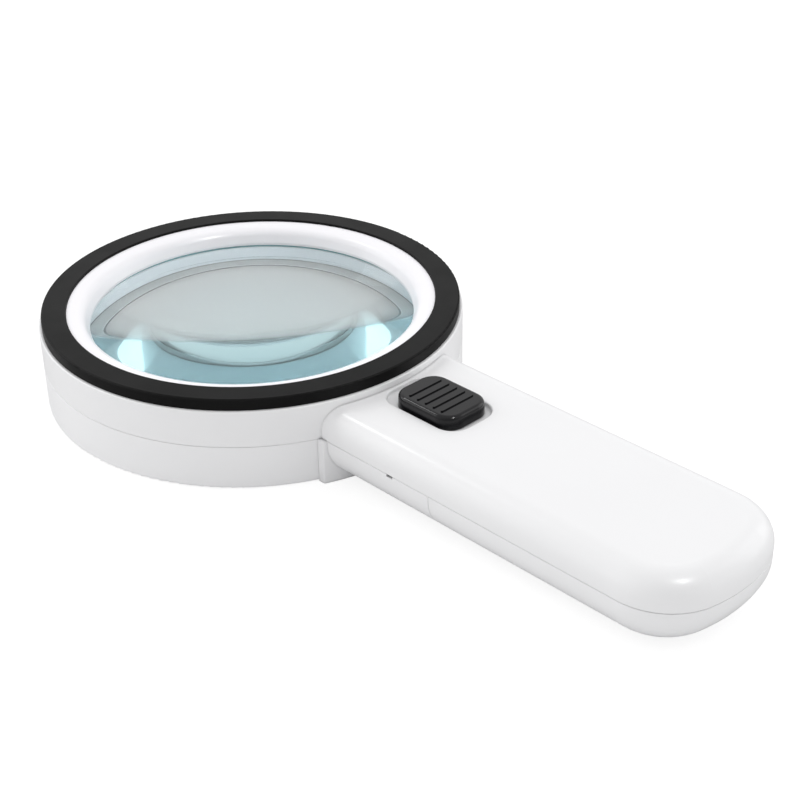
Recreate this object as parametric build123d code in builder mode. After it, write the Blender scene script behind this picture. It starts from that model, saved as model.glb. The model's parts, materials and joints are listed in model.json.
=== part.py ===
from build123d import *

import os
from math import sqrt

# An illuminated hand magnifier: a round white head that holds a large glass lens under a black trim
# ring, and a flat handle with a slide switch and a slide-off battery door.
#
# Frame: millimetres, +Z up. The origin is the centre of the head on the plane that the head rests
# on, and the handle runs along +X.

# ---------------------------------------------------------------- driving dimensions: head
head_r = 55.0  # outside of the white head
head_h = 24.2  # resting plane to the top of the black ring
wall = 2.0  # thickness of the white mouldings
seam_z = 11.8  # parting plane between the upper and the lower mouldings
shoulder_z = 21.3  # deck that carries the black ring
bezel_r = 54.2
bezel_bore_r = 47.9
lens_view_r = 42.2  # free radius of the glass
lens_r = 43.6
lens_top_z = 18.63  # upper rim of the lens
lens_edge_t = 3.98  # height of the lens's edge
lens_top_sagitta = 2.81
lens_bottom_sagitta = 6.77
barrel_r = 43.17  # bore under the lens
lamp_face_z = 1.6  # underside plate with the lamps, recessed above the resting plane
lamp_face_r = 52.2  # outer edge of the recess
lamp_bore_r = 39.7  # opening in the plate, which forms a ledge inside the barrel
led_count = 12
led_pitch_r = 48.0

# ---------------------------------------------------------------- driving dimensions: handle
handle_w = 43.4
handle_end_x = 155.8
handle_top_z = 19.5
handle_bottom_z = 0.9
end_sagitta = 6.0  # how far the butt bows out
corner_r = 15.4  # plan corners of the butt
top_round = 5.7
bottom_round = 9.5
door_x = 86.0  # joint between the handle's lower shell and the battery door
prise_slot_x = 73.6  # slot in the rim where the lower shell is prised off
prise_slot_l = 2.0
saddle_t = 1.7  # plate of the lower shell that hugs the head
saddle_overhang = 1.0  # how far that plate stands out beside the handle

# ---------------------------------------------------------------- driving dimensions: switch
button_x = 68.95  # button's centre at rest, switched off
button_l = 19.5
button_w = 14.8
button_top_z = 21.9
switch_travel = 3.0
case_l = 14.0
rib_count = 5
rib_pitch = 2.59
rib_l = 10.7
rib_w = 0.6

# ---------------------------------------------------------------- driving dimensions: power
cell_r = 5.25  # AAA cell
cell_l = 44.5
cell_pitch = 12.0
cell_z = 9.3
cell_button_h = 0.95
cell_button_r = 1.9
spring_r = 2.9
spring_wire_r = 0.3
spring_turns = 4
plate_h = 7.6

# ---------------------------------------------------------------- clearances
gap = 0.1  # between neighbouring mouldings
line = 0.2  # chamfer that shows as a parting line

# ---------------------------------------------------------------- worked-out dimensions
half_w = handle_w / 2
end_r = (half_w**2 + end_sagitta**2) / (2 * end_sagitta)
end_centre_x = handle_end_x - end_r
root_x = 30.0  # inside the head, where the handle's construction starts
deck_t = 2.0
deck_bore_r = 45.4
inner_r = head_r - wall
lens_low_z = lens_top_z - lens_edge_t
lens_pocket_r = lens_r + 0.2
barrel_outer_r = lens_pocket_r + 1.2
barrel_top_z = lens_top_z - 0.1
# the two seats are cones that follow the glass, 0.05 clear of it
lip_rise = lens_top_sagitta * (1 - (lens_view_r / lens_r) ** 2) + 0.05
seat_drop = lens_bottom_sagitta * (1 - (barrel_r / lens_r) ** 2) + 0.05
plate_top_z = lamp_face_z + wall
land_r = 47.0  # inner edge of the flat land beside the black ring
crest_drop = 0.95  # how far the funnel falls before its steep wall
crest_inset = 1.4
peg_r = 1.1
peg_pitch_r = 51.0
head_screw_pitch_r = 49.4
screw_post_r = 2.4
screw_bore_r = 1.15  # pilot hole of the larger screws
screw_shank_r = 1.1
screw_head_r = 2.1
screw_clear_r = 1.2
counterbore_r = 2.25
small_post_r = 2.1
small_bore_r = 0.9
small_shank_r = 0.8
small_head_r = 1.7
led_nose_r = 2.45
led_nose_z = lamp_face_z + 3.15  # centre of the round nose
led_flange_z = led_nose_z + 4.1
led_board_low_z = led_flange_z + 1.15
led_board_high_z = led_board_low_z + 1.6
led_board_inner_r = 45.2
led_board_outer_r = 51.5
led_lead_offset = 1.27
recess_depth = 1.2
recess_floor_z = handle_top_z - recess_depth
recess_x = 68.2
recess_l = 24.8
slot_x = button_x - switch_travel / 2  # middle of the slot that the button's stem slides in
recess_w = button_w + 1.2
ceiling_z = handle_top_z - wall
pad_z = recess_floor_z - 1.8  # underside of the switch pad
board_low_z = 8.4
board_high_z = 10.0
case_top_z = 15.1
case_x = slot_x
lever_l = 3.0
lever_w = 3.2
stem_l = 7.0
stem_w = 8.0
pin_pitch = 4.0
tray_roof_z = 14.7
tray_top_z = 15.8
tray_x0 = 89.5
tray_x1 = 145.5
contact_x0 = 91.4  # faces of the contact plates
contact_x1 = 143.6
plate_t = 0.4
tab_y = 9.0
wire_z = 16.6

os.makedirs("parts", exist_ok=True)


# ---------------------------------------------------------------- shared shapes
def handle_outline(inset):
    """Plan outline of the handle, moved inwards by inset."""
    half = half_w - inset
    arc_r = end_r - inset
    corner_x = end_centre_x + sqrt(arc_r**2 - half**2)
    with BuildSketch() as outline:
        with BuildLine():
            Polyline((corner_x, half), (root_x, half), (root_x, -half), (corner_x, -half))
            ThreePointArc((corner_x, -half), (end_centre_x + arc_r, 0), (corner_x, half))
        make_face()
        fillet(outline.vertices().group_by(Axis.X)[-1], corner_r - inset)
    return outline.sketch


def handle_body(inset):
    """Rounded solid of the handle, moved inwards by inset all round."""
    with BuildPart() as body:
        with BuildSketch(Plane.XY.offset(handle_bottom_z + inset)):
            add(handle_outline(inset))
        extrude(amount=handle_top_z - handle_bottom_z - 2 * inset)
        top_rim = body.faces().sort_by(Axis.Z)[-1].edges().sort_by(Axis.X)[1:]
        fillet(top_rim, top_round - inset)
        bottom_rim = body.faces().sort_by(Axis.Z)[0].edges().sort_by(Axis.X)[1:]
        fillet(bottom_rim, bottom_round - inset)
    return body.part


def posts(places, radius, z_low, z_high):
    """Upright round posts at the given (x, y) places."""
    with BuildPart() as group:
        with BuildSketch(Plane.XY.offset(z_low)):
            with Locations(*places):
                Circle(radius)
        extrude(amount=z_high - z_low)
    return group.part


def around_head(radius, count, first_angle):
    """Evenly spaced (x, y) places on a circle round the head's axis."""
    spots = PolarLocations(radius, count, start_angle=first_angle).locations
    return [(spot.position.X, spot.position.Y) for spot in spots]


def cross_head_screw(x, y, head_z, tip_z, head_r_mm, shank_r, head_t):
    """Screw with its head at head_z and its tip at tip_z, above or below the head."""
    toward_tip = 1 if tip_z > head_z else -1
    with BuildPart() as screw:
        with BuildSketch(Plane((x, y, head_z), z_dir=(0, 0, toward_tip))):
            Circle(head_r_mm)
        extrude(amount=head_t)
        chamfer(screw.faces().filter_by(Axis.Z).sort_by_distance((x, y, head_z))[0].edges(), 0.25)
        with BuildSketch(Plane((x, y, head_z), z_dir=(0, 0, toward_tip))):
            Circle(shank_r)
        extrude(amount=abs(tip_z - head_z))
        tip = screw.faces().filter_by(Axis.Z).sort_by_distance((x, y, tip_z))[0]
        chamfer(tip.edges(), shank_r * 0.5)
        with BuildSketch(Plane((x, y, head_z), z_dir=(0, 0, toward_tip))):
            Rectangle(head_r_mm * 1.25, 0.5)
            Rectangle(0.5, head_r_mm * 1.25)
        extrude(amount=head_t * 0.6, mode=Mode.SUBTRACT)
    return screw.part


def large_screw(x, y, head_z, tip_z, head_t):
    return cross_head_screw(x, y, head_z, tip_z, screw_head_r, screw_shank_r, head_t)


def small_screw(x, y, head_z, tip_z, head_t):
    return cross_head_screw(x, y, head_z, tip_z, small_head_r, small_shank_r, head_t)


def wire(path_points, radius=0.5):
    """Insulated wire that runs straight between the given points and bends softly at each."""
    with BuildPart() as run:
        with BuildLine() as path:
            FilletPolyline(*path_points, radius=1.4)
        with BuildSketch(Plane(origin=path.line @ 0, z_dir=path.line % 0)):
            Circle(radius)
        sweep(path=path.line)
    return run.part


def save(part, label):
    part.label = label
    export_step(part, f"parts/{label}.step")


head_screw_places = around_head(head_screw_pitch_r, 4, 45)
led_places = around_head(led_pitch_r, led_count, 0)
led_board_screw_places = around_head(led_pitch_r, 4, 15)
peg_places = around_head(peg_pitch_r, 8, 22.5)
handle_screw_places = [(66.0, 10.0), (66.0, -10.0)]
board_screw_places = [(79.5, 3.8), (79.5, -3.8)]
tray_screw_places = [(87.4, 14.4), (87.4, -14.4)]
resistor_feet = [(78.2, 0), (85.2, 0)]


# ---------------------------------------------------------------- black ring on top of the head
with BuildPart() as bezel_ring:
    rebate_r = bezel_bore_r + 1.8
    rebate_z = shoulder_z + 1.1
    with BuildSketch(Plane.XZ):
        with BuildLine():
            Polyline(
                (bezel_bore_r, head_h),
                (bezel_r, head_h),
                (bezel_r, shoulder_z),
                (rebate_r, shoulder_z),
                (rebate_r, rebate_z),
                (bezel_bore_r, rebate_z),
                close=True,
            )
        make_face()
    revolve(axis=Axis.Z)
    rims = bezel_ring.faces().sort_by(Axis.Z)[-1].edges().sort_by(SortBy.LENGTH)
    fillet(rims[0], 0.25)
    fillet(rims[-1], 0.45)
    add(posts(peg_places, peg_r, shoulder_z - 1.6, shoulder_z + 0.3))
save(bezel_ring.part, "bezel_ring")


# ---------------------------------------------------------------- white funnel between ring and glass
with BuildPart() as lens_surround:
    land_z = head_h - 0.6
    lip_z = lens_top_z + 0.9
    crest_r = lens_view_r + crest_inset
    crest_z = land_z - crest_drop
    flange_z = shoulder_z + 1.0
    with BuildSketch(Plane.XZ) as funnel:
        with BuildLine():
            Polyline(
                (lens_view_r, lens_top_z + lip_rise),
                (lens_view_r, lip_z),
                (crest_r, crest_z),
                (land_r, land_z),
                (bezel_bore_r - gap, land_z),
                (bezel_bore_r - gap, flange_z),
                (bezel_bore_r + 1.7, flange_z),
                (bezel_bore_r + 1.7, shoulder_z + 0.05),
                (deck_bore_r - 0.2, shoulder_z + 0.05),
                (deck_bore_r - 0.2, lens_top_z + 0.05),
                (lens_r, lens_top_z + 0.05),
                close=True,
            )
        make_face()
        fillet(funnel.vertices().sort_by_distance((land_r, land_z))[0], 4.0)
        fillet(funnel.vertices().sort_by_distance((crest_r, crest_z))[0], 3.0)
        fillet(funnel.vertices().sort_by_distance((lens_view_r, lip_z))[0], 0.4)
    revolve(axis=Axis.Z)
save(lens_surround.part, "lens_surround")


# ---------------------------------------------------------------- upper half of head and handle
with BuildPart() as upper_shell:
    add(handle_body(0))
    add(handle_body(wall), mode=Mode.SUBTRACT)
    split(bisect_by=Plane.XY.offset(seam_z), keep=Keep.TOP)
    with BuildSketch(Plane.XY):
        Circle(head_r - 0.5)
    extrude(amount=head_h, mode=Mode.SUBTRACT)
    # wall and deck of the head
    with BuildSketch(Plane.XZ) as head_section:
        with BuildLine():
            Polyline(
                (inner_r, seam_z),
                (head_r, seam_z),
                (head_r, shoulder_z),
                (deck_bore_r, shoulder_z),
                (deck_bore_r, shoulder_z - deck_t),
                (inner_r, shoulder_z - deck_t),
                close=True,
            )
        make_face()
    revolve(axis=Axis.Z)
    # thicker pad under the switch
    with BuildSketch(Plane.XY.offset(pad_z)):
        with Locations((recess_x + 0.5, 0)):
            Rectangle(recess_l + 3.0, recess_w + 4.0)
    extrude(amount=ceiling_z - pad_z + 0.2)
    with BuildSketch(Plane.XY.offset(handle_top_z)):
        with Locations((recess_x, 0)):
            RectangleRounded(recess_l, recess_w, 5.0)
    extrude(amount=-recess_depth, mode=Mode.SUBTRACT)
    recess_floor = upper_shell.faces().filter_by(Axis.Z)
    fillet(recess_floor.sort_by_distance((recess_x, 0, recess_floor_z))[0].edges(), 0.5)
    recess_rim = (
        upper_shell.edges()
        .filter_by_position(Axis.Z, handle_top_z - 0.01, handle_top_z + 0.01)
        .filter_by_position(Axis.X, recess_x - recess_l / 2 - 0.1, recess_x + recess_l / 2 + 0.1)
        .filter_by_position(Axis.Y, -recess_w / 2 - 0.1, recess_w / 2 + 0.1)
    )
    fillet(recess_rim, 0.45)
    with BuildSketch(Plane.XY.offset(handle_top_z)):
        with Locations((slot_x, 0)):
            Rectangle(stem_l + switch_travel + 0.6, stem_w + 0.4)
    extrude(amount=-4.0, mode=Mode.SUBTRACT)
    # bosses for the screws that come up from below
    add(posts(head_screw_places, screw_post_r, seam_z, shoulder_z - deck_t + 0.1))
    add(posts(handle_screw_places, 2.8, 7.3, ceiling_z + 0.1))
    add(posts(board_screw_places, small_post_r, board_high_z + 0.05, ceiling_z + 0.1))
    add(posts(tray_screw_places, small_post_r, tray_top_z + 0.05, ceiling_z + 0.1))
    add(posts(head_screw_places, screw_bore_r, seam_z - 1, shoulder_z - 1.0), mode=Mode.SUBTRACT)
    add(posts(handle_screw_places, screw_bore_r, 7.0, 16.0), mode=Mode.SUBTRACT)
    add(posts(board_screw_places, small_bore_r, board_high_z, 15.0), mode=Mode.SUBTRACT)
    add(posts(tray_screw_places, small_bore_r, tray_top_z, ceiling_z + 0.9), mode=Mode.SUBTRACT)
    # seats of the bezel ring's pegs, and the wire window between head and handle
    add(posts(peg_places, peg_r + gap, shoulder_z - deck_t - 1, shoulder_z + 1), mode=Mode.SUBTRACT)
    with BuildSketch(Plane.YZ.offset(inner_r - 2)):
        with Locations((0, 14.4)):
            RectangleRounded(10.0, 3.6, 1.0)
    extrude(amount=6.0, mode=Mode.SUBTRACT)
    shoulder_edge = upper_shell.edges().filter_by(GeomType.CIRCLE)
    shoulder_edge = shoulder_edge.filter_by_position(Axis.Z, shoulder_z - 0.01, shoulder_z + 0.01)
    fillet(shoulder_edge.sort_by(SortBy.RADIUS)[-1], 0.4)
save(upper_shell.part, "upper_shell")


# ---------------------------------------------------------------- lower half of the head
with BuildPart() as head_lower_shell:
    rim_z = seam_z - gap
    groove_w = 0.4  # shadow line at the foot of the barrel
    with BuildSketch(Plane.XZ):
        with BuildLine():
            Polyline(
                (lamp_bore_r + 2.6, lamp_face_z),
                (lamp_face_r, lamp_face_z),
                (lamp_face_r, 0),
                (head_r, 0),
                (head_r, rim_z),
                (inner_r - 0.15, rim_z),
                (inner_r - 0.15, rim_z + 1.5),
                (inner_r - 1.1, rim_z + 1.5),
                (inner_r - 1.1, rim_z - 1.6),
                (inner_r, rim_z - 1.6),
                (inner_r, plate_top_z),
                (barrel_outer_r, plate_top_z),
                (barrel_outer_r, barrel_top_z),
                (lens_pocket_r, barrel_top_z),
                (lens_pocket_r, lens_low_z - 0.05),
                (barrel_r, lens_low_z - seat_drop),
                (barrel_r, plate_top_z + groove_w),
                (barrel_r + groove_w, plate_top_z + groove_w),
                (barrel_r + groove_w, plate_top_z),
                (lamp_bore_r, plate_top_z),
                (lamp_bore_r, plate_top_z - 0.7),
                close=True,
            )
        make_face()
    revolve(axis=Axis.Z)
    outer_rims = head_lower_shell.edges().filter_by(GeomType.CIRCLE).sort_by(SortBy.RADIUS)[-2:]
    chamfer(outer_rims.sort_by(Axis.Z)[-1], line)
    outer_rims = head_lower_shell.edges().filter_by(GeomType.CIRCLE).sort_by(SortBy.RADIUS)[-2:]
    fillet(outer_rims.sort_by(Axis.Z)[0], 0.9)
    # posts for the screws and the LED board
    add(posts(head_screw_places, screw_post_r, plate_top_z - 0.1, rim_z))
    add(posts(led_board_screw_places, small_post_r, plate_top_z - 0.1, led_board_low_z - 0.05))
    add(posts(head_screw_places, screw_clear_r, 0, seam_z), mode=Mode.SUBTRACT)
    add(posts(head_screw_places, counterbore_r, 0, lamp_face_z + 1.75), mode=Mode.SUBTRACT)
    add(posts(led_board_screw_places, small_bore_r, plate_top_z + 1, led_board_low_z), mode=Mode.SUBTRACT)
    # lamp windows, flared to the outside
    with BuildSketch(Plane.XY.offset(lamp_face_z)):
        with PolarLocations(led_pitch_r, led_count):
            Circle(3.5)
    extrude(amount=wall, taper=23, mode=Mode.SUBTRACT)
    # gap in the aligning lip for the wires
    with BuildSketch(Plane.XY.offset(rim_z)):
        with Locations((inner_r, 0)):
            Rectangle(4.0, 12.0)
    extrude(amount=3.0, mode=Mode.SUBTRACT)
save(head_lower_shell.part, "head_lower_shell")


# ---------------------------------------------------------------- glass
with BuildPart() as lens:
    with BuildSketch(Plane.XZ):
        with BuildLine():
            axis_line = Line((0, lens_low_z - lens_bottom_sagitta), (0, lens_top_z + lens_top_sagitta))
            TangentArc(axis_line @ 1, (lens_r, lens_top_z), tangent=(1, 0))
            Line((lens_r, lens_top_z), (lens_r, lens_low_z))
            TangentArc(axis_line @ 0, (lens_r, lens_low_z), tangent=(1, 0))
        make_face()
    revolve(axis=Axis.Z)
save(lens.part, "lens")


# ---------------------------------------------------------------- LED ring
with BuildPart() as led_board:
    with BuildSketch(Plane.XY.offset(led_board_low_z)):
        Circle(led_board_outer_r)
        Circle(led_board_inner_r, mode=Mode.SUBTRACT)
        with PolarLocations(head_screw_pitch_r + 1.2, 4, start_angle=45):
            SlotOverall(8.0, 2 * screw_post_r + 0.6, mode=Mode.SUBTRACT)
        with PolarLocations(led_pitch_r, 4, start_angle=15):
            Circle(1.0, mode=Mode.SUBTRACT)
        for lead_offset in (-led_lead_offset, led_lead_offset):
            with PolarLocations(led_pitch_r + lead_offset, led_count):
                Circle(0.45, mode=Mode.SUBTRACT)
    extrude(amount=led_board_high_z - led_board_low_z)
save(led_board.part, "led_board")


def led(x, y):
    """Round lamp with a domed nose that points down and two leads that point up."""
    direction = Vector(x, y, 0).normalized()
    with BuildPart() as lamp:
        with BuildSketch(Plane.XY.offset(led_nose_z)):
            with Locations((x, y)):
                Circle(led_nose_r)
        extrude(amount=led_flange_z - led_nose_z)
        with Locations((x, y, led_nose_z)):
            Sphere(led_nose_r)
        with BuildSketch(Plane.XY.offset(led_flange_z)):
            with Locations((x, y)):
                Circle(led_nose_r + 0.35)
        extrude(amount=1.0)
        for side in (-led_lead_offset, led_lead_offset):
            foot = Vector(x, y, 0) + direction * side
            with BuildSketch(Plane.XY.offset(led_flange_z + 0.7)):
                with Locations((foot.X, foot.Y)):
                    Circle(0.28)
            extrude(amount=led_board_high_z - led_flange_z - 0.1)
    return lamp.part


with BuildPart() as leds:
    for led_x, led_y in led_places:
        add(led(led_x, led_y))
save(leds.part, "leds")


# ---------------------------------------------------------------- screws of the head
with BuildPart() as led_board_screws:
    for screw_x, screw_y in led_board_screw_places:
        add(small_screw(screw_x, screw_y, led_board_high_z + 1.25, plate_top_z + 2.2, 1.2))
save(led_board_screws.part, "led_board_screws")

with BuildPart() as head_screws:
    for screw_x, screw_y in head_screw_places:
        add(large_screw(screw_x, screw_y, lamp_face_z + 0.25, 17.5, 1.45))
save(head_screws.part, "head_screws")


# ---------------------------------------------------------------- front lower part of the handle
with BuildPart() as handle_lower_shell:
    add(handle_body(0))
    split(bisect_by=Plane.XY.offset(seam_z - gap), keep=Keep.BOTTOM)
    split(bisect_by=Plane.YZ.offset(door_x - gap / 2), keep=Keep.BOTTOM)
    rim_edges = handle_lower_shell.faces().sort_by(Axis.Z)[-1].edges().filter_by(Axis.X)
    chamfer(rim_edges, line)
    add(handle_body(wall), mode=Mode.SUBTRACT)
    # saddle plate against the head, down to the resting plane
    saddle_r = head_r + gap + saddle_t
    with BuildSketch(Plane.XY) as saddle:
        Circle(saddle_r)
        with Locations((saddle_r, 0)):
            Rectangle(saddle_r, handle_w + 2 * saddle_overhang, mode=Mode.INTERSECT)
        fillet(saddle.vertices().group_by(Axis.X)[-1], 0.6)
    extrude(amount=seam_z - gap)
    with BuildSketch(Plane.XY):
        Circle(head_r + gap)
    extrude(amount=head_h, mode=Mode.SUBTRACT)
    # screw posts
    add(posts(handle_screw_places, 3.2, handle_bottom_z + wall - 0.1, 7.2))
    add(posts(handle_screw_places, screw_clear_r, 0, 8), mode=Mode.SUBTRACT)
    add(posts(handle_screw_places, counterbore_r, 0, 4.0), mode=Mode.SUBTRACT)
    # slots in the rim where the shell is prised off
    with BuildSketch(Plane.XY.offset(seam_z)):
        with GridLocations(0, handle_w, 1, 2):
            with Locations((prise_slot_x, 0)):
                Rectangle(prise_slot_l, 2.0)
    extrude(amount=-0.75, mode=Mode.SUBTRACT)
save(handle_lower_shell.part, "handle_lower_shell")


# ---------------------------------------------------------------- battery door
with BuildPart() as battery_door:
    add(handle_body(0))
    split(bisect_by=Plane.XY.offset(seam_z - gap), keep=Keep.BOTTOM)
    split(bisect_by=Plane.YZ.offset(door_x + gap / 2), keep=Keep.TOP)
    rim_edges = battery_door.faces().sort_by(Axis.Z)[-1].edges().sort_by(Axis.X)[1:]
    chamfer(rim_edges, line)
    add(handle_body(wall), mode=Mode.SUBTRACT)
    # ribs that run over the tray's rails
    for side in (1, -1):
        with BuildSketch(Plane.XY.offset(9.8)):
            with Locations((door_x + 26.0, side * (half_w - wall - 0.45))):
                Rectangle(50.0, 1.3)
        extrude(amount=1.2)
    # tongue that tucks under the lower shell's floor edge
    with BuildSketch(Plane.XY.offset(handle_bottom_z + wall + 0.1)):
        with Locations((door_x, 0)):
            RectangleRounded(9.0, 16.0, 1.5)
    extrude(amount=0.9)
    with BuildSketch(Plane.XY.offset(handle_bottom_z + wall - 0.1)):
        with Locations((door_x + 2.5, 0)):
            Rectangle(4.0, 16.0)
    extrude(amount=0.5)
    # thumb ridges
    with BuildSketch(Plane.XY.offset(handle_bottom_z + 0.1)):
        for ridge in range(5):
            with Locations((door_x + 7.0 + 2.2 * ridge, 0)):
                SlotOverall(14.0, 0.9, rotation=90)
    extrude(amount=-0.4)
save(battery_door.part, "battery_door")


# ---------------------------------------------------------------- slide switch
with BuildPart() as switch_button:
    button_low_z = recess_floor_z + 0.2
    with BuildSketch(Plane.XY.offset(button_low_z)):
        with Locations((button_x, 0)):
            RectangleRounded(button_l, button_w, 4.6)
    extrude(amount=button_top_z - button_low_z, taper=2)
    fillet(switch_button.faces().sort_by(Axis.Z)[-1].edges(), 1.1)
    # grip ribs across the top
    with BuildSketch(Plane.XY.offset(button_top_z - 0.1)):
        for rib in range(rib_count):
            with Locations((button_x + (rib - (rib_count - 1) / 2) * rib_pitch, 0)):
                SlotOverall(rib_l, rib_w, rotation=90)
    extrude(amount=0.4)
    # stem through the slot, with snap barbs under the shell and a socket for the lever
    with BuildSketch(Plane.XY.offset(case_top_z + 0.2)):
        with Locations((button_x, 0)):
            Rectangle(stem_l, stem_w)
    extrude(amount=button_low_z - case_top_z)
    with BuildSketch(Plane.XY.offset(case_top_z + 0.2)):
        with Locations((button_x, 0)):
            Rectangle(4.0, 9.8)
    extrude(amount=pad_z - case_top_z - 0.4)
    with BuildSketch(Plane.XY.offset(case_top_z)):
        with Locations((button_x, 0)):
            Rectangle(lever_l + 0.1, lever_w + 0.4)
    extrude(amount=3.2, mode=Mode.SUBTRACT)
save(switch_button.part, "switch_button")

with BuildPart() as switch_lever:
    with BuildSketch(Plane.XY.offset(13.6)):
        with Locations((button_x, 0)):
            Rectangle(lever_l, lever_w)
    extrude(amount=18.0 - 13.6)
    chamfer(switch_lever.faces().sort_by(Axis.Z)[-1].edges(), 0.3)
save(switch_lever.part, "switch_lever")

with BuildPart() as switch_case:
    with BuildSketch(Plane.XY.offset(board_high_z + 0.05)):
        with Locations((case_x, 0)):
            RectangleRounded(case_l, 7.0, 0.5)
    extrude(amount=case_top_z - board_high_z - 0.05)
    with BuildSketch(Plane.XY.offset(case_top_z)):
        with Locations((case_x, 0)):
            Rectangle(lever_l + switch_travel + 0.6, lever_w + 0.3)
    extrude(amount=-1.8, mode=Mode.SUBTRACT)
save(switch_case.part, "switch_case")

with BuildPart() as switch_pins:
    with BuildSketch(Plane.XY.offset(7.2)):
        with Locations((case_x, 0)):
            with GridLocations(pin_pitch, 0, 3, 1):
                Rectangle(0.6, 1.0)
    extrude(amount=board_high_z - 7.2)
save(switch_pins.part, "switch_pins")

with BuildPart() as switch_board:
    with BuildSketch(Plane.XY.offset(board_low_z)):
        with Locations((72.4, 0)):
            RectangleRounded(27.6, 12.0, 0.8)
        with Locations(*board_screw_places):
            Circle(1.0, mode=Mode.SUBTRACT)
        with Locations((case_x, 0)):
            with GridLocations(pin_pitch, 0, 3, 1):
                Rectangle(0.8, 1.2, mode=Mode.SUBTRACT)
        with Locations(*resistor_feet):
            Circle(0.4, mode=Mode.SUBTRACT)
    extrude(amount=board_high_z - board_low_z)
save(switch_board.part, "switch_board")

with BuildPart() as switch_board_screws:
    for screw_x, screw_y in board_screw_places:
        add(small_screw(screw_x, screw_y, board_low_z - 1.15, 14.6, 1.1))
save(switch_board_screws.part, "switch_board_screws")

with BuildPart() as resistor:
    lead_r = 0.25
    body_z = board_high_z + 1.4
    with BuildSketch(Plane((78.9, 0, body_z), z_dir=(1, 0, 0))):
        Circle(1.1)
    extrude(amount=5.6)
    fillet(resistor.edges().filter_by(GeomType.CIRCLE), 0.35)
    with BuildSketch(Plane((resistor_feet[0][0] - 0.2, 0, body_z), z_dir=(1, 0, 0))):
        Circle(lead_r)
    extrude(amount=resistor_feet[1][0] - resistor_feet[0][0] + 0.4)
    add(posts(resistor_feet, lead_r, board_low_z - 0.5, body_z + lead_r))
save(resistor.part, "resistor")


# ---------------------------------------------------------------- batteries and their contacts
def battery_cell(y, toward_butt):
    """AAA cell whose button end points to the butt, or back to the head."""
    facing = 1 if toward_butt else -1
    button_end_x = contact_x1 - 0.05 if toward_butt else contact_x0 + 0.05
    flat_end = Plane((button_end_x - facing * cell_l, y, cell_z), z_dir=(facing, 0, 0))
    with BuildPart() as cell:
        with BuildSketch(flat_end):
            Circle(cell_r)
        extrude(amount=cell_l - cell_button_h + 0.05)
        fillet(cell.edges().filter_by(GeomType.CIRCLE), 0.45)
        with BuildSketch(flat_end.offset(cell_l - cell_button_h)):
            Circle(cell_button_r)
        extrude(amount=cell_button_h)
    return cell.part


def battery_spring(y, toward_butt):
    """Coil spring that presses on the flat end of the cell in bay y."""
    facing = 1 if toward_butt else -1
    foot_x = contact_x0 + 0.4 if toward_butt else contact_x1 - 0.4
    coil_length = contact_x1 - contact_x0 - cell_l - 0.9
    with BuildPart() as spring:
        with BuildLine() as coil:
            Helix(
                pitch=coil_length / spring_turns,
                height=coil_length,
                radius=spring_r,
                center=(foot_x, y, cell_z),
                direction=(facing, 0, 0),
            )
        with BuildSketch(Plane(origin=coil.line @ 0, z_dir=coil.line % 0)):
            Circle(spring_wire_r)
        sweep(path=coil.line, is_frenet=True)
    return spring.part


bays = [(-cell_pitch, True), (0.0, False), (cell_pitch, True)]

with BuildPart() as batteries:
    for bay_y, bay_direction in bays:
        add(battery_cell(bay_y, bay_direction))
save(batteries.part, "batteries")

with BuildPart() as battery_springs:
    for bay_y, bay_direction in bays:
        add(battery_spring(bay_y, bay_direction))
save(battery_springs.part, "battery_springs")

with BuildPart() as contact_plates:
    plate_high_z = cell_z + plate_h / 2
    # single plates at the two ends of the circuit, each with a tab up through the tray's roof
    for plate_x, side in ((contact_x0 - plate_t, -1), (contact_x1, 1)):
        with BuildSketch(Plane.YZ.offset(plate_x)):
            with Locations((side * cell_pitch, cell_z)):
                RectangleRounded(8.0, plate_h, 0.6)
            with Locations((side * tab_y, (plate_high_z + wire_z) / 2 - 0.3)):
                Rectangle(1.6, wire_z - plate_high_z + 1.0)
        extrude(amount=plate_t)
    # bridging plates between two neighbouring cells
    for plate_x, side in ((contact_x0 - plate_t, 1), (contact_x1, -1)):
        with BuildSketch(Plane.YZ.offset(plate_x)):
            with Locations((side * cell_pitch / 2, cell_z)):
                RectangleRounded(cell_pitch + plate_h, plate_h, 0.6)
        extrude(amount=plate_t)
save(contact_plates.part, "contact_plates")

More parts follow.
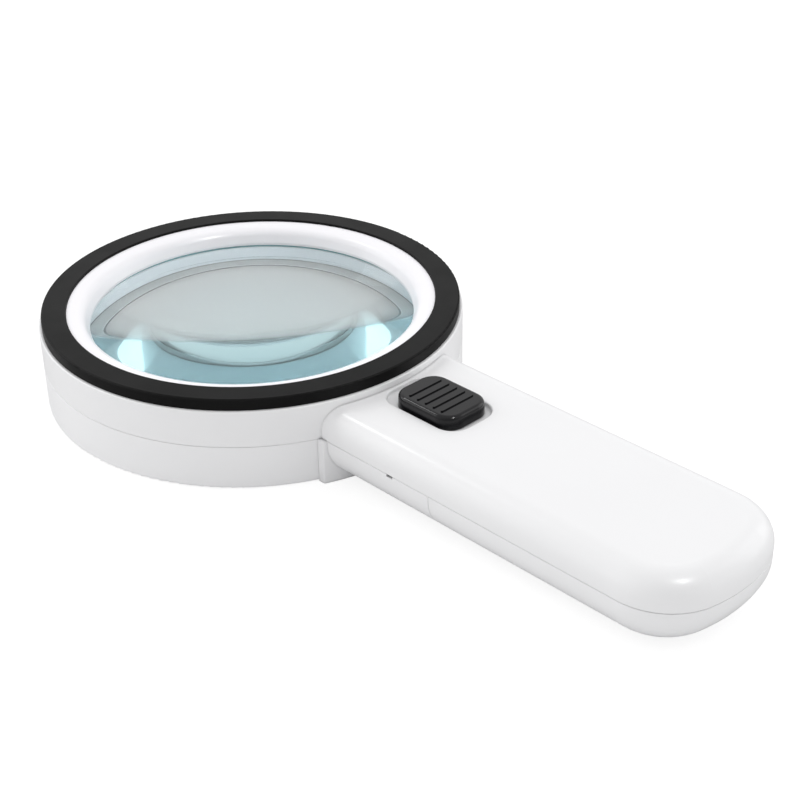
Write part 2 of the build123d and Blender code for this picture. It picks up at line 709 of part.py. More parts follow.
with BuildPart() as battery_tray:
    end_wall_low_z = 5.2
    tray_mid_x = (tray_x0 + tray_x1) / 2
    tray_l = tray_x1 - tray_x0
    with BuildSketch(Plane.XY.offset(tray_roof_z)):
        with Locations((tray_mid_x, 0)):
            RectangleRounded(tray_l, 36.8, 2.5)
        # ears for the tray's screws
        with Locations(*tray_screw_places):
            Rectangle(5.0, 5.4)
        with Locations(*tray_screw_places):
            Circle(1.0, mode=Mode.SUBTRACT)
        # slots for the plates' tabs
        with Locations((contact_x0 - plate_t / 2, -tab_y), (contact_x1 + plate_t / 2, tab_y)):
            Rectangle(0.8, 2.2, mode=Mode.SUBTRACT)
    extrude(amount=tray_top_z - tray_roof_z)
    # side walls with the rails that carry the door
    for side in (1, -1):
        with BuildSketch(Plane.XY.offset(8.2)):
            with Locations((tray_mid_x, side * 18.0)):
                Rectangle(tray_l - 5.0, 0.8)
        extrude(amount=tray_roof_z - 8.2)
        with BuildSketch(Plane.XY.offset(8.5)):
            with Locations((tray_mid_x - 2.5, side * 18.6)):
                Rectangle(tray_l - 5.0, 1.1)
        extrude(amount=1.0)
    # end walls behind the contact plates
    for end_x in (tray_x0 + 0.7, tray_x1 - 0.7):
        with BuildSketch(Plane.XY.offset(end_wall_low_z)):
            with Locations((end_x, 0)):
                Rectangle(1.4, 30.0)
        extrude(amount=tray_roof_z - end_wall_low_z)
    # dividers between the cells
    with BuildSketch(Plane.XY.offset(9.5)):
        with Locations((tray_mid_x, 0)):
            with GridLocations(0, cell_pitch, 1, 2):
                Rectangle(tray_l - 20.0, 0.8)
    extrude(amount=tray_roof_z - 9.5)
save(battery_tray.part, "battery_tray")

with BuildPart() as tray_screws:
    for screw_x, screw_y in tray_screw_places:
        add(small_screw(screw_x, screw_y, tray_roof_z - 1.25, 18.1, 1.2))
save(tray_screws.part, "tray_screws")

with BuildPart() as handle_screws:
    for screw_x, screw_y in handle_screw_places:
        add(large_screw(screw_x, screw_y, 2.3, 15.0, 1.6))
save(handle_screws.part, "handle_screws")


# ---------------------------------------------------------------- wires
def lamp_wire(side):
    """From the switch board through the wire window to the LED board."""
    return wire(
        [
            (59.8, side * 2.6, board_high_z + 0.05),
            (59.6, side * 2.6, 14.4),
            (53.0, side * 3.4, 14.4),
            (46.2, side * 5.0, 13.6),
            (46.0, side * 5.0, led_board_high_z + 0.05),
        ]
    )


def battery_wire(side, start_x):
    """From a contact plate's tab over the tray to the switch board."""
    return wire(
        [
            (start_x, side * tab_y, wire_z),
            (87.5, side * tab_y, wire_z),
            (84.0, side * 4.6, 14.0),
            (84.0, side * 4.6, board_high_z + 0.05),
        ]
    )


save(lamp_wire(1), "lamp_wire_red")
save(lamp_wire(-1), "lamp_wire_black")
save(battery_wire(1, contact_x1 - 0.1), "battery_wire_red")
save(battery_wire(-1, contact_x0 - plate_t - 0.05), "battery_wire_black")
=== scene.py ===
import json
import math

import bmesh
import bpy
from mathutils import Matrix, Vector


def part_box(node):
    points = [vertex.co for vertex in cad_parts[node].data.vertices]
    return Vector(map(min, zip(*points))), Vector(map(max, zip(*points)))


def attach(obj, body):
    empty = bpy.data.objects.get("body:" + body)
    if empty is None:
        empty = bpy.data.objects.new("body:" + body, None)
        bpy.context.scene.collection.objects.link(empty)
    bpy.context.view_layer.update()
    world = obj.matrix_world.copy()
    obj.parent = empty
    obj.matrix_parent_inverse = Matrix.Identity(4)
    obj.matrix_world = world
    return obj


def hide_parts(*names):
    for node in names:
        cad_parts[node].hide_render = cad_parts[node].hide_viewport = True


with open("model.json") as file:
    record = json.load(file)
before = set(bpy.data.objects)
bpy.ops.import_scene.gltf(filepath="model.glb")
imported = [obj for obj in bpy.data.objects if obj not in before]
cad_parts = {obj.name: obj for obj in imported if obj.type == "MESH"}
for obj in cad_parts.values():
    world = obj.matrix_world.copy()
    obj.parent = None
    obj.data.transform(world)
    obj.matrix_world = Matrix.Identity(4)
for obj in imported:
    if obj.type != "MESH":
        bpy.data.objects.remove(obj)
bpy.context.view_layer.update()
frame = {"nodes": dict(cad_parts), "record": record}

# Looks of the illuminated hand magnifier. The CAD nodes keep their shapes and get procedural materials.
# The lens and the lamps are rebuilt here with finer detail.
# Lengths that belong to the object are written in millimetres and turned into metres by MM.

MM = 0.001
ROUND_STEPS = 256  # steps round the lens
record = frame["record"]
nodes = frame["nodes"]
slot_of_node = {part["node"]: part["material_slot"] for part in record["subparts"]}
body_of_node = {
    node: body for body, members in record["behaviour"]["bodies"].items() for node in members
}

# camera: where it looks and from which side
CAMERA_TARGET = Vector((36.74, 17.67, 0.0)) * MM
CAMERA_DISTANCE = 417.3 * MM
CAMERA_AZIMUTH = math.radians(45.99)
CAMERA_ELEVATION = math.radians(30.46)
CAMERA_ROLL = math.radians(-0.87)
FOCAL_LENGTH = 72.0
SENSOR_WIDTH = 36.0
SKY_STRENGTH = 0.955
BACKDROP_STRENGTH = 1.1  # the sky as the camera itself sees it
SKY_ON_CAMERA_SIDE = 0.66  # share of the sky's light that comes from the camera's side
FLOOR_GLOW = 1.15
FLOOR_GLOW_TO_CAMERA = 0.7  # share of the glow in the floor that the camera sees
FLOOR_GLOW_THROUGH_GLASS = 0.2
FLOOR_DIMMING_IN_SHEEN = 0.5
FLOOR_HALF_WIDTH = 3.0
FLOOR_DROP = 0.05 * MM  # keeps the floor just under the object's resting face
LIGHT_AIM = Vector((40, 0, 10)) * MM
LAMP_COUNT = 12
LAMP_NOSE_R = 2.45
LAMP_FLANGE_R = 2.8
LAMP_BODY_L = 4.1  # from the middle of the nose to the rim
LAMP_LEAD_OFFSET = 1.27
LAMP_LEAD_R = 0.28
LAMP_FLANGE_T = 1.0
CUP_R = 1.6
CUP_LIP_R = 1.3
CUP_FLOOR_R = 0.6
CUP_L = 2.0
DOME_STEPS = 14
LENS_STEPS = 56  # steps from each pole of the lens to its rim
LIGHT_BOUNCES = 24  # light turns many times inside the lens
CREASE_SHADE_REACH = 0.9 * MM  # how far the painted shade of ambient occlusion reaches from a crease or joint line


# ---------------------------------------------------------------- node helpers
def add_node(tree, kind, inputs=None, **settings):
    """New shader node. Its inputs are given by name, as values or as sockets to link from."""
    node = tree.nodes.new(kind)
    for name, value in settings.items():
        setattr(node, name, value)
    for name, value in (inputs or {}).items():
        if isinstance(value, bpy.types.NodeSocket):
            tree.links.new(value, node.inputs[name])
        else:
            node.inputs[name].default_value = value
    return node


def new_material(name):
    material = bpy.data.materials.new(name)
    material.use_nodes = True
    material.node_tree.nodes.clear()
    return material, material.node_tree


def finish_material(tree, surface, volume=None):
    output = add_node(tree, "ShaderNodeOutputMaterial", {"Surface": surface})
    if volume is not None:
        tree.links.new(volume, output.inputs["Volume"])


def millimetres(tree):
    """Object coordinates in millimetres."""
    place = add_node(tree, "ShaderNodeTexCoord")
    scaled = add_node(
        tree,
        "ShaderNodeVectorMath",
        {"Vector": place.outputs["Object"], "Scale": 1 / MM},
        operation="SCALE",
    )
    return scaled.outputs["Vector"]


def noise(tree, vector, size, detail=2.0, roughness=0.5):
    """Noise whose grains are about size millimetres wide."""
    texture = add_node(
        tree,
        "ShaderNodeTexNoise",
        {"Vector": vector, "Scale": 1 / size, "Detail": detail, "Roughness": roughness},
    )
    return texture.outputs["Fac"]


def spread(tree, value, low, high, start=0.3, end=0.7):
    """Value between start and end mapped to low and high."""
    mapped = add_node(
        tree,
        "ShaderNodeMapRange",
        {"Value": value, "From Min": start, "From Max": end, "To Min": low, "To Max": high},
    )
    return mapped.outputs["Result"]


def blend_colours(tree, factor, first, second):
    mix = add_node(tree, "ShaderNodeMix", data_type="RGBA")
    for name, value in (("Factor", factor), ("A", first), ("B", second)):
        socket = [s for s in mix.inputs if s.name == name and s.enabled][0]
        if isinstance(value, bpy.types.NodeSocket):
            tree.links.new(value, socket)
        else:
            socket.default_value = value
    return [s for s in mix.outputs if s.enabled][0]


def shade_of(colour, factor):
    return tuple(min(1.0, channel * factor) for channel in colour) + (1.0,)


def camera_axes():
    """The camera's right, up and backward directions."""
    back = Vector(
        (
            math.sin(CAMERA_AZIMUTH) * math.cos(CAMERA_ELEVATION),
            -math.cos(CAMERA_AZIMUTH) * math.cos(CAMERA_ELEVATION),
            math.sin(CAMERA_ELEVATION),
        )
    )
    right = Vector((0, 0, 1)).cross(back).normalized()
    up = back.cross(right)
    turned_right = math.cos(CAMERA_ROLL) * right + math.sin(CAMERA_ROLL) * up
    turned_up = math.cos(CAMERA_ROLL) * up - math.sin(CAMERA_ROLL) * right
    return turned_right, turned_up, back


# ---------------------------------------------------------------- materials
def inside(tree, value, low, high, soft=0.04):
    """1 where value lies between low and high, 0 elsewhere, with soft borders."""
    above = spread(tree, value, 0.0, 1.0, start=low - soft, end=low + soft)
    below = spread(tree, value, 1.0, 0.0, start=high - soft, end=high + soft)
    both = add_node(tree, "ShaderNodeMath", {0: above, 1: below}, operation="MULTIPLY")
    return both.outputs["Value"]


def barrel_painted_shade(tree, place, skin):
    """Painted shade inside the lens barrel: a bluish wall shade that deepens to dark teal on the side near
    the camera, painted grey shade on the ledge, and painted dark shadow on the ledge rim and in the groove.
    """
    parts = add_node(tree, "ShaderNodeSeparateXYZ", {"Vector": place})
    flat = add_node(tree, "ShaderNodeCombineXYZ", {"X": parts.outputs["X"], "Y": parts.outputs["Y"]})
    reach = add_node(
        tree, "ShaderNodeVectorMath", {"Vector": flat.outputs["Vector"]}, operation="LENGTH"
    )
    radius = reach.outputs["Value"]
    height = parts.outputs["Z"]
    _, _, back = camera_axes()
    toward = Vector((back.x, back.y, 0)).normalized()
    along = add_node(
        tree,
        "ShaderNodeVectorMath",
        {0: flat.outputs["Vector"], 1: tuple(toward)},
        operation="DOT_PRODUCT",
    )
    # painted shade: the wall darkens from its far side to the side near the camera
    camera_side_shade = spread(tree, along.outputs["Value"], 0.0, 1.0, start=-15.0, end=25.0)
    shaded_wall = blend_colours(tree, camera_side_shade, BARREL_FAR_SHADE + (1.0,), BARREL_NEAR_SHADE + (1.0,))
    for colour, radii, heights in ((shaded_wall, (0.0, 43.4), (3.85, 20.0)),) + BARREL_SHADE_ZONES:
        in_shade_zone = add_node(
            tree,
            "ShaderNodeMath",
            {0: inside(tree, radius, *radii), 1: inside(tree, height, *heights)},
            operation="MULTIPLY",
        )
        skin = blend_colours(tree, in_shade_zone.outputs["Value"], skin, colour)
    return skin


def moulded_plastic(
    name,
    colour,
    roughness,
    mottle=0.02,
    grain=0.5,
    grain_height=0.004,
    coat=0.0,
    specular=0.5,
    paint_shade=None,
    crease_shade=0.0,
):
    """Injection-moulded plastic: faint colour flow, a fine tool grain and uneven gloss, and, when asked,
    painted shade: zones painted darker, and ambient-occlusion darkening in creases and joint gaps.
    """
    material, tree = new_material(name)
    place = millimetres(tree)
    flow = noise(tree, place, 22.0, detail=3.0)
    skin = blend_colours(
        tree,
        spread(tree, flow, 0.0, 1.0),
        shade_of(colour, 1 - mottle),
        shade_of(colour, 1 + mottle),
    )
    # painted shade laid into the colour zone by zone
    if paint_shade:
        skin = paint_shade(tree, place, skin)
    # painted shade: ambient occlusion darkens the colour in creases and joint gaps
    if crease_shade:
        open_sky = add_node(tree, "ShaderNodeAmbientOcclusion", {"Distance": CREASE_SHADE_REACH}, samples=6)
        crease_shadow = spread(tree, open_sky.outputs["AO"], crease_shade, 0.0, start=0.35, end=0.85)
        skin = blend_colours(tree, crease_shadow, skin, shade_of(colour, 0.2))
    gloss = spread(tree, noise(tree, place, 7.0, detail=1.0), roughness * 0.92, roughness * 1.08)
    fine = add_node(
        tree,
        "ShaderNodeBump",
        {"Strength": 1.0, "Distance": grain_height * MM, "Height": noise(tree, place, grain)},
    )
    waves = add_node(
        tree,
        "ShaderNodeBump",
        {
            "Strength": 1.0,
            "Distance": 0.01 * MM,
            "Height": noise(tree, place, 12.0, detail=0.0),
            "Normal": fine.outputs["Normal"],
        },
    )
    surface = add_node(
        tree,
        "ShaderNodeBsdfPrincipled",
        {
            "Base Color": skin,
            "Roughness": gloss,
            "Normal": waves.outputs["Normal"],
            "Specular IOR Level": specular,
            "Coat Weight": coat,
            "Coat Roughness": 0.12,
        },
    )
    finish_material(tree, surface.outputs["BSDF"])
    return material


def polished_glass(name, tint, density):
    """Clear glass that colours light along its path and lets direct light through to the floor."""
    material, tree = new_material(name)
    clear = add_node(tree, "ShaderNodeBsdfGlass", {"IOR": 1.523, "Roughness": 0.0})
    passing = add_node(tree, "ShaderNodeBsdfTransparent", {"Color": (0.98, 0.98, 0.98, 1.0)})
    path = add_node(tree, "ShaderNodeLightPath")
    mix = add_node(tree, "ShaderNodeMixShader", {"Fac": path.outputs["Is Shadow Ray"]})
    tree.links.new(clear.outputs["BSDF"], mix.inputs[1])
    tree.links.new(passing.outputs["BSDF"], mix.inputs[2])
    seen = add_node(
        tree,
        "ShaderNodeMath",
        {0: path.outputs["Is Shadow Ray"], 1: -density, 2: density},
        operation="MULTIPLY_ADD",
    )
    absorb = add_node(
        tree,
        "ShaderNodeVolumeAbsorption",
        {"Color": tint + (1.0,), "Density": seen.outputs["Value"]},
    )
    finish_material(tree, mix.outputs["Shader"], absorb.outputs["Volume"])
    return material


def ground_glass(name, colour):
    """Matt ground edge of the lens, with a fine grinding grain."""
    material, tree = new_material(name)
    place = millimetres(tree)
    tone = blend_colours(
        tree,
        spread(tree, noise(tree, place, 0.8, detail=4.0), 0.0, 1.0),
        shade_of(colour, 0.92),
        shade_of(colour, 1.05),
    )
    surface = add_node(tree, "ShaderNodeBsdfDiffuse", {"Color": tone, "Roughness": 0.6})
    finish_material(tree, surface.outputs["BSDF"])
    return material


def plated_metal(name, colour, roughness, streak=0.6):
    """Plated or drawn metal with fine directional streaks."""
    material, tree = new_material(name)
    place = millimetres(tree)
    stretched = add_node(
        tree, "ShaderNodeVectorMath", {0: place, 1: (0.15, 1.0, 1.0)}, operation="MULTIPLY"
    )
    lines = noise(tree, stretched.outputs["Vector"], streak, detail=5.0)
    skin = blend_colours(
        tree, spread(tree, lines, 0.0, 1.0), shade_of(colour, 0.85), shade_of(colour, 1.06)
    )
    bump = add_node(tree, "ShaderNodeBump", {"Strength": 0.4, "Distance": 0.01 * MM, "Height": lines})
    surface = add_node(
        tree,
        "ShaderNodeBsdfPrincipled",
        {
            "Base Color": skin,
            "Metallic": 1.0,
            "Roughness": spread(tree, lines, roughness * 0.8, roughness * 1.3),
            "Normal": bump.outputs["Normal"],
        },
    )
    finish_material(tree, surface.outputs["BSDF"])
    return material


def cell_jackets(name, film, band, steel):
    """Printed film round each cell, with a coloured band near its button end and bare steel ends."""
    material, tree = new_material(name)
    place = millimetres(tree)
    parts = add_node(tree, "ShaderNodeSeparateXYZ", {"Vector": place})
    low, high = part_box("batteries")
    from_front = add_node(
        tree, "ShaderNodeMath", {0: parts.outputs["X"], 1: low.x / MM}, operation="SUBTRACT"
    )
    from_rear = add_node(
        tree, "ShaderNodeMath", {0: high.x / MM, 1: parts.outputs["X"]}, operation="SUBTRACT"
    )
    middle = inside(tree, parts.outputs["Y"], -6.0, 6.0)
    depth = add_node(
        tree,
        "ShaderNodeMix",
        {0: middle, 2: from_rear.outputs["Value"], 3: from_front.outputs["Value"]},
    )
    reach = depth.outputs[0]
    covered = inside(tree, reach, 1.7, 43.6)
    banded = inside(tree, reach, 1.7, 11.0)
    grain = spread(tree, noise(tree, place, 1.2, detail=4.0), 0.0, 1.0)
    print_tone = blend_colours(tree, grain, shade_of(film, 0.9), shade_of(film, 1.1))
    jacket = blend_colours(tree, banded, print_tone, band + (1.0,))
    skin = blend_colours(tree, covered, steel + (1.0,), jacket)
    metal = spread(tree, covered, 1.0, 0.25, start=0.0, end=1.0)
    ridge = add_node(
        tree, "ShaderNodeBump", {"Strength": 1.0, "Distance": 0.08 * MM, "Height": covered}
    )
    surface = add_node(
        tree,
        "ShaderNodeBsdfPrincipled",
        {
            "Base Color": skin,
            "Metallic": metal,
            "Roughness": spread(tree, grain, 0.2, 0.32, start=0.0, end=1.0),
            "Normal": ridge.outputs["Normal"],
            "Coat Weight": 0.4,
        },
    )
    finish_material(tree, surface.outputs["BSDF"])
    return material


def lamp_epoxy(name):
    """Clear lamp resin with a faint haze, over the yellow phosphor of the chip cup."""
    material, tree = new_material(name)
    place = millimetres(tree)
    haze = spread(tree, noise(tree, place, 0.7, detail=3.0), 0.0, 1.0)
    tone = blend_colours(tree, haze, (0.82, 0.86, 0.84, 1.0), (0.93, 0.95, 0.93, 1.0))
    surface = add_node(
        tree,
        "ShaderNodeBsdfPrincipled",
        {
            "Base Color": tone,
            "Roughness": spread(tree, haze, 0.04, 0.12, start=0.0, end=1.0),
            "Transmission Weight": 0.85,
            "IOR": 1.52,
        },
    )
    finish_material(tree, surface.outputs["BSDF"])
    return material


def circuit_board_material(name, mask, copper):
    """Green solder mask over wandering copper tracks."""
    material, tree = new_material(name)
    place = millimetres(tree)
    tracks = add_node(
        tree,
        "ShaderNodeTexVoronoi",
        {"Vector": place, "Scale": 0.28, "Randomness": 0.6},
        feature="DISTANCE_TO_EDGE",
        distance="EUCLIDEAN",
    )
    on_track = spread(tree, tracks.outputs["Distance"], 1.0, 0.0, start=0.05, end=0.09)
    skin = blend_colours(tree, on_track, mask + (1.0,), copper + (1.0,))
    bump = add_node(tree, "ShaderNodeBump", {"Strength": 0.8, "Distance": 0.03 * MM, "Height": on_track})
    surface = add_node(
        tree,
        "ShaderNodeBsdfPrincipled",
        {
            "Base Color": skin,
            "Roughness": spread(tree, noise(tree, place, 1.5), 0.3, 0.42),
            "Normal": bump.outputs["Normal"],
            "Coat Weight": 0.3,
        },
    )
    finish_material(tree, surface.outputs["BSDF"])
    return material


# painted shade inside the lens barrel: the wall's shade on its far and near sides, then the painted shade
# zones with their radii and heights (millimetres)
BARREL_FAR_SHADE = (0.72, 0.77, 0.81)
BARREL_NEAR_SHADE = (0.06, 0.37, 0.41)
BARREL_SHADE_ZONES = (
    # painted grey shade on the ledge
    ((0.4, 0.41, 0.41, 1.0), (39.8, 43.1), (3.3, 3.7)),
    # painted dark shadow in the groove
    ((0.16, 0.17, 0.17, 1.0), (43.1, 43.7), (3.3, 4.05)),
    # painted dark shadow on the ledge rim
    ((0.12, 0.12, 0.12, 1.0), (0.0, 39.8), (2.5, 3.55)),
)

MATERIALS = {
    # white plastic with painted shade in its creases and joint gaps
    "white_plastic": lambda: moulded_plastic(
        "white_abs", (0.86, 0.86, 0.87), 0.32, mottle=0.006, coat=0.15, crease_shade=0.6
    ),
    "black_plastic": lambda: moulded_plastic(
        "black_satin_abs",
        (0.006, 0.006, 0.006),
        0.42,
        mottle=0.15,
        grain=0.35,
        grain_height=0.012,
        specular=0.09,
    ),
    "black_gloss_plastic": lambda: moulded_plastic(
        "black_gloss_abs", (0.003, 0.003, 0.004), 0.14, mottle=0.1, specular=0.32
    ),
    "inner_black_plastic": lambda: moulded_plastic("black_nylon", (0.02, 0.02, 0.02), 0.45),
    "inner_plastic": lambda: moulded_plastic(
        "tray_abs", (0.72, 0.72, 0.73), 0.5, mottle=0.015, grain_height=0.01
    ),
    "lens_glass": lambda: polished_glass("lens_glass", (0.2, 0.62, 0.68), 13.0),
    "circuit_board": lambda: circuit_board_material(
        "circuit_board", (0.015, 0.11, 0.04), (0.05, 0.24, 0.09)
    ),
    "led_epoxy": lambda: lamp_epoxy("lamp_epoxy"),
    "plated_steel": lambda: plated_metal("zinc_steel", (0.62, 0.62, 0.64), 0.3),
    "tinned_brass": lambda: plated_metal("tinned_brass", (0.72, 0.69, 0.6), 0.28),
    "nickel_spring": lambda: plated_metal("nickel_wire", (0.66, 0.63, 0.58), 0.22),
    "resistor_body": lambda: moulded_plastic("resistor_lacquer", (0.62, 0.46, 0.24), 0.35),
    "battery_jacket": lambda: cell_jackets(
        "battery_film", (0.02, 0.14, 0.1), (0.55, 0.3, 0.1), (0.62, 0.62, 0.63)
    ),
    "red_insulation": lambda: moulded_plastic("red_pvc", (0.5, 0.02, 0.015), 0.4),
    "black_insulation": lambda: moulded_plastic("black_pvc", (0.015, 0.015, 0.015), 0.42),
}
material_of_slot = {slot: make() for slot, make in MATERIALS.items()}
material_of_node = {
    # the barrel inside the lower shell gets painted shade in its colour
    "head_lower_shell": moulded_plastic(
        "white_abs_barrel_painted_shade", (0.86, 0.86, 0.87), 0.32, mottle=0.006, specular=0.15, paint_shade=barrel_painted_shade
    ),
    "lens_surround": moulded_plastic(
        "white_abs_funnel", (0.93, 0.92, 0.95), 0.3, mottle=0.006, coat=0.2
    ),
}


def paint_cad_nodes():
    """Gives every CAD node its own material, or else the material of its record slot."""
    for name, node in nodes.items():
        node.data.materials.clear()
        node.data.materials.append(material_of_node.get(name) or material_of_slot[slot_of_node[name]])


# ---------------------------------------------------------------- mesh helpers
def mesh_piece(name, bm, material, sharp_angle=30.0):
    """Turns a bmesh into a shown piece with smooth shading and crisp corners."""
    bmesh.ops.recalc_face_normals(bm, faces=bm.faces)
    mesh = bpy.data.meshes.new(name)
    bm.to_mesh(mesh)
    bm.free()
    mesh.materials.append(material)
    for face in mesh.polygons:
        face.use_smooth = True
    mesh.set_sharp_from_angle(angle=math.radians(sharp_angle))
    piece = bpy.data.objects.new(name, mesh)
    bpy.context.scene.collection.objects.link(piece)
    return piece


def stand_for(piece, node):
    """The piece is shown in place of a CAD node, on that node's body; its caller gives it its finish."""
    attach(piece, body_of_node[node])
    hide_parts(node)
    return piece


def turned(bm, profile, centre=Vector((0.0, 0.0, 0.0)), steps=ROUND_STEPS, material_index=0):
    """Adds a profile of (radius, height) turned round an upright line through centre."""
    rings = []
    for radius, height in profile:
        count = steps if radius > 1e-9 else 1
        angles = [2 * math.pi * step / steps for step in range(count)]
        rings.append(
            [
                bm.verts.new((centre.x + radius * math.cos(a), centre.y + radius * math.sin(a), height))
                for a in angles
            ]
        )
    for inner, outer in zip(rings, rings[1:]):
        for step in range(steps):
            after = (step + 1) % steps
            corners = [
                inner[step % len(inner)],
                outer[step % len(outer)],
                outer[after % len(outer)],
                inner[after % len(inner)],
            ]
            corners = list(dict.fromkeys(corners))
            if len(corners) > 2:
                bm.faces.new(corners).material_index = material_index


# ---------------------------------------------------------------- lens
def cap_profile(rim_radius, rim_height, pole_height, steps):
    """Profile points of a spherical cap from its pole out to its rim."""
    sagitta = pole_height - rim_height
    sphere = (rim_radius**2 + sagitta**2) / (2 * abs(sagitta))
    sign = 1 if sagitta > 0 else -1
    points = []
    for step in range(steps + 1):
        radius = rim_radius * step / steps
        drop = sphere - math.sqrt(sphere**2 - radius**2)
        points.append((radius, pole_height - sign * drop))
    return points


def make_lens():
    """The lens with finely stepped faces, so that it bends light without facets."""
    low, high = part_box("lens")
    rim = high.x
    edge_heights = [
        v.co.z for v in nodes["lens"].data.vertices if math.hypot(v.co.x, v.co.y) > rim - 0.01 * MM
    ]
    top = cap_profile(rim, max(edge_heights), high.z, LENS_STEPS)
    bottom = cap_profile(rim, min(edge_heights), low.z, LENS_STEPS)
    bm = bmesh.new()
    turned(bm, top + bottom[::-1])
    piece = mesh_piece("lens_glass_blank", bm, material_of_slot["lens_glass"])
    piece.data.materials.append(ground_glass("lens_ground_edge", (0.1, 0.34, 0.38)))
    for face in piece.data.polygons:
        if abs(face.normal.z) < 0.05:
            face.material_index = 1
    return stand_for(piece, "lens")


# ---------------------------------------------------------------- lamps
def make_lamps():
    """Twelve lamps with a domed nose, a rim, a chip cup seen through the resin, and two leads."""
    low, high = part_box("leds")
    flange_r = LAMP_FLANGE_R * MM
    nose_r = LAMP_NOSE_R * MM
    pitch = high.x - flange_r
    dome_z = low.z + nose_r
    flange_z = dome_z + LAMP_BODY_L * MM
    top_z = flange_z + LAMP_FLANGE_T * MM
    turns = [math.pi / 2 * k / DOME_STEPS for k in range(DOME_STEPS + 1)]
    dome = [(nose_r * math.sin(turn), dome_z - nose_r * math.cos(turn)) for turn in turns]
    shell = dome + [(nose_r, flange_z), (flange_r, flange_z), (flange_r, top_z), (0.0, top_z)]
    cup_z = dome_z + 1.6 * MM
    cup = [
        (0.0, cup_z + 0.7 * MM),
        (CUP_FLOOR_R * MM, cup_z + 0.6 * MM),
        (CUP_LIP_R * MM, cup_z),
        (CUP_R * MM, cup_z),
        (CUP_R * MM, cup_z + CUP_L * MM),
        (0.0, cup_z + CUP_L * MM),
    ]
    bm = bmesh.new()
    for index in range(LAMP_COUNT):
        angle = 2 * math.pi * index / LAMP_COUNT
        outward = Vector((math.cos(angle), math.sin(angle), 0.0))
        turned(bm, shell, outward * pitch, 40, 0)
        turned(bm, cup, outward * pitch, 24, 1)
        for side in (-1, 1):
            foot = outward * (pitch + side * LAMP_LEAD_OFFSET * MM)
            lead_r = LAMP_LEAD_R * MM
            lead = [(0.0, top_z), (lead_r, top_z), (lead_r, high.z), (0.0, high.z)]
            turned(bm, lead, foot, 16, 2)
    piece = mesh_piece("lamp_set", bm, material_of_slot["led_epoxy"])
    piece.data.materials.append(
        moulded_plastic("lamp_phosphor", (0.85, 0.68, 0.2), 0.6, mottle=0.08, grain=0.15)
    )
    piece.data.materials.append(material_of_slot["tinned_brass"])
    return stand_for(piece, "leds")


# ---------------------------------------------------------------- stage
def make_floor():
    size = FLOOR_HALF_WIDTH
    below = -FLOOR_DROP
    mesh = bpy.data.meshes.new("floor")
    corners = [(-size, -size, below), (size, -size, below), (size, size, below), (-size, size, below)]
    mesh.from_pydata(corners, [], [(0, 1, 2, 3)])
    floor = bpy.data.objects.new("floor", mesh)
    bpy.context.scene.collection.objects.link(floor)
    material, tree = new_material("floor_paper")
    place = millimetres(tree)
    tone = blend_colours(
        tree,
        spread(tree, noise(tree, place, 40.0), 0.0, 1.0),
        (0.9, 0.9, 0.9, 1.0),
        (0.93, 0.93, 0.93, 1.0),
    )
    glow = add_node(tree, "ShaderNodeEmission", {"Color": (1, 1, 1, 1), "Strength": FLOOR_GLOW})
    path = add_node(tree, "ShaderNodeLightPath")
    dim = add_node(
        tree,
        "ShaderNodeMath",
        {0: path.outputs["Is Glossy Ray"], 1: FLOOR_DIMMING_IN_SHEEN},
        operation="MULTIPLY",
    )
    dimmed = blend_colours(tree, dim.outputs["Value"], tone, (0.0, 0.0, 0.0, 1.0))
    paper = add_node(tree, "ShaderNodeBsdfDiffuse", {"Color": dimmed})
    bent = add_node(
        tree,
        "ShaderNodeMath",
        {0: path.outputs["Is Transmission Ray"], 1: FLOOR_GLOW_THROUGH_GLASS},
        operation="MULTIPLY",
    )
    share = add_node(
        tree,
        "ShaderNodeMath",
        {0: path.outputs["Is Camera Ray"], 1: FLOOR_GLOW_TO_CAMERA, 2: bent.outputs["Value"]},
        operation="MULTIPLY_ADD",
    )
    mix = add_node(tree, "ShaderNodeMixShader", {"Fac": share.outputs["Value"]})
    tree.links.new(paper.outputs["BSDF"], mix.inputs[1])
    tree.links.new(glow.outputs["Emission"], mix.inputs[2])
    finish_material(tree, mix.outputs["Shader"])
    mesh.materials.append(material)


def make_camera():
    right, up, back = camera_axes()
    place = CAMERA_TARGET + back * CAMERA_DISTANCE
    camera_data = bpy.data.cameras.new("camera")
    camera_data.lens = FOCAL_LENGTH
    camera_data.sensor_width = SENSOR_WIDTH
    camera_data.clip_start = 0.01
    camera = bpy.data.objects.new("camera", camera_data)
    bpy.context.scene.collection.objects.link(camera)
    camera.matrix_world = Matrix((right, up, back)).transposed().to_4x4()
    camera.location = place
    bpy.context.scene.camera = camera


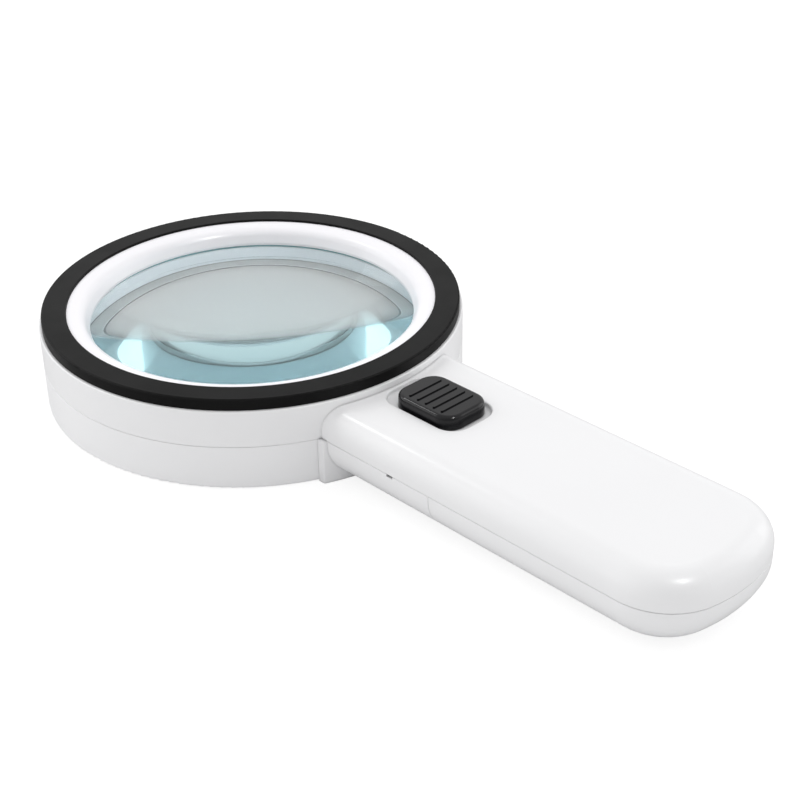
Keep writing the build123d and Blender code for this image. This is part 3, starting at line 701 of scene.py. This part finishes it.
def make_world():
    """White studio that is darker on the side where the camera stands."""
    world = bpy.data.worlds.new("studio")
    bpy.context.scene.world = world
    world.use_nodes = True
    tree = world.node_tree
    tree.nodes.clear()
    place = add_node(tree, "ShaderNodeTexCoord")
    _, _, back = camera_axes()
    dark_side = Vector((back.x, back.y, 0.1)).normalized()
    facing = add_node(
        tree,
        "ShaderNodeVectorMath",
        {0: place.outputs["Generated"], 1: tuple(dark_side)},
        operation="DOT_PRODUCT",
    )
    light = add_node(
        tree,
        "ShaderNodeMapRange",
        {
            "Value": facing.outputs["Value"],
            "From Min": 0.35,
            "From Max": 0.95,
            "To Min": 1.0,
            "To Max": SKY_ON_CAMERA_SIDE,
        },
        interpolation_type="SMOOTHSTEP",
    )
    path = add_node(tree, "ShaderNodeLightPath")
    level = add_node(
        tree,
        "ShaderNodeMix",
        {0: path.outputs["Is Camera Ray"], 2: light.outputs["Result"], 3: BACKDROP_STRENGTH / SKY_STRENGTH},
    )
    strength = add_node(
        tree, "ShaderNodeMath", {0: level.outputs[0], 1: SKY_STRENGTH}, operation="MULTIPLY"
    )
    sky = add_node(
        tree, "ShaderNodeBackground", {"Color": (1, 1, 1, 1), "Strength": strength.outputs["Value"]}
    )
    output = add_node(tree, "ShaderNodeOutputWorld")
    tree.links.new(sky.outputs["Background"], output.inputs["Surface"])


def softbox(
    name,
    right_mm,
    toward_mm,
    height_mm,
    size_mm,
    power,
    seen_through_glass=True,
    sheen_only=False,
):
    """Square light, placed by how far it is to the camera's right, towards the camera and up."""
    right, _, back = camera_axes()
    toward = Vector((back.x, back.y, 0)).normalized()
    aside = Vector((right.x, right.y, 0)).normalized()
    place = LIGHT_AIM + (aside * right_mm + toward * toward_mm + Vector((0, 0, height_mm))) * MM
    light_data = bpy.data.lights.new(name, "AREA")
    light_data.size = size_mm * MM
    light_data.energy = power
    light = bpy.data.objects.new(name, light_data)
    bpy.context.scene.collection.objects.link(light)
    light.location = place
    light.rotation_euler = (LIGHT_AIM - place).to_track_quat("-Z", "Y").to_euler()
    light.visible_transmission = seen_through_glass
    light.visible_diffuse = not sheen_only


def make_lights():
    """Two broad lights at the sides, and two small ones that only draw highlights and top light."""
    softbox("softbox_left", -700, -190, 330, 550, 1.2)
    softbox("softbox_right", 700, -220, 330, 550, 1.1)
    softbox("key_behind", -520, -356, 770, 120, 0.75, seen_through_glass=False)
    softbox("key_front", 330, 420, 760, 110, 2.6, seen_through_glass=False, sheen_only=True)


def let_light_bounce():
    """Lets light turn often enough to find its way out of the lens."""
    cycles = bpy.context.scene.cycles
    cycles.max_bounces = LIGHT_BOUNCES
    cycles.glossy_bounces = LIGHT_BOUNCES
    cycles.transmission_bounces = LIGHT_BOUNCES


paint_cad_nodes()
make_lens()
make_lamps()
make_floor()
make_camera()
make_world()
make_lights()
let_light_bounce()
bpy.context.scene.view_settings.view_transform = "Standard"
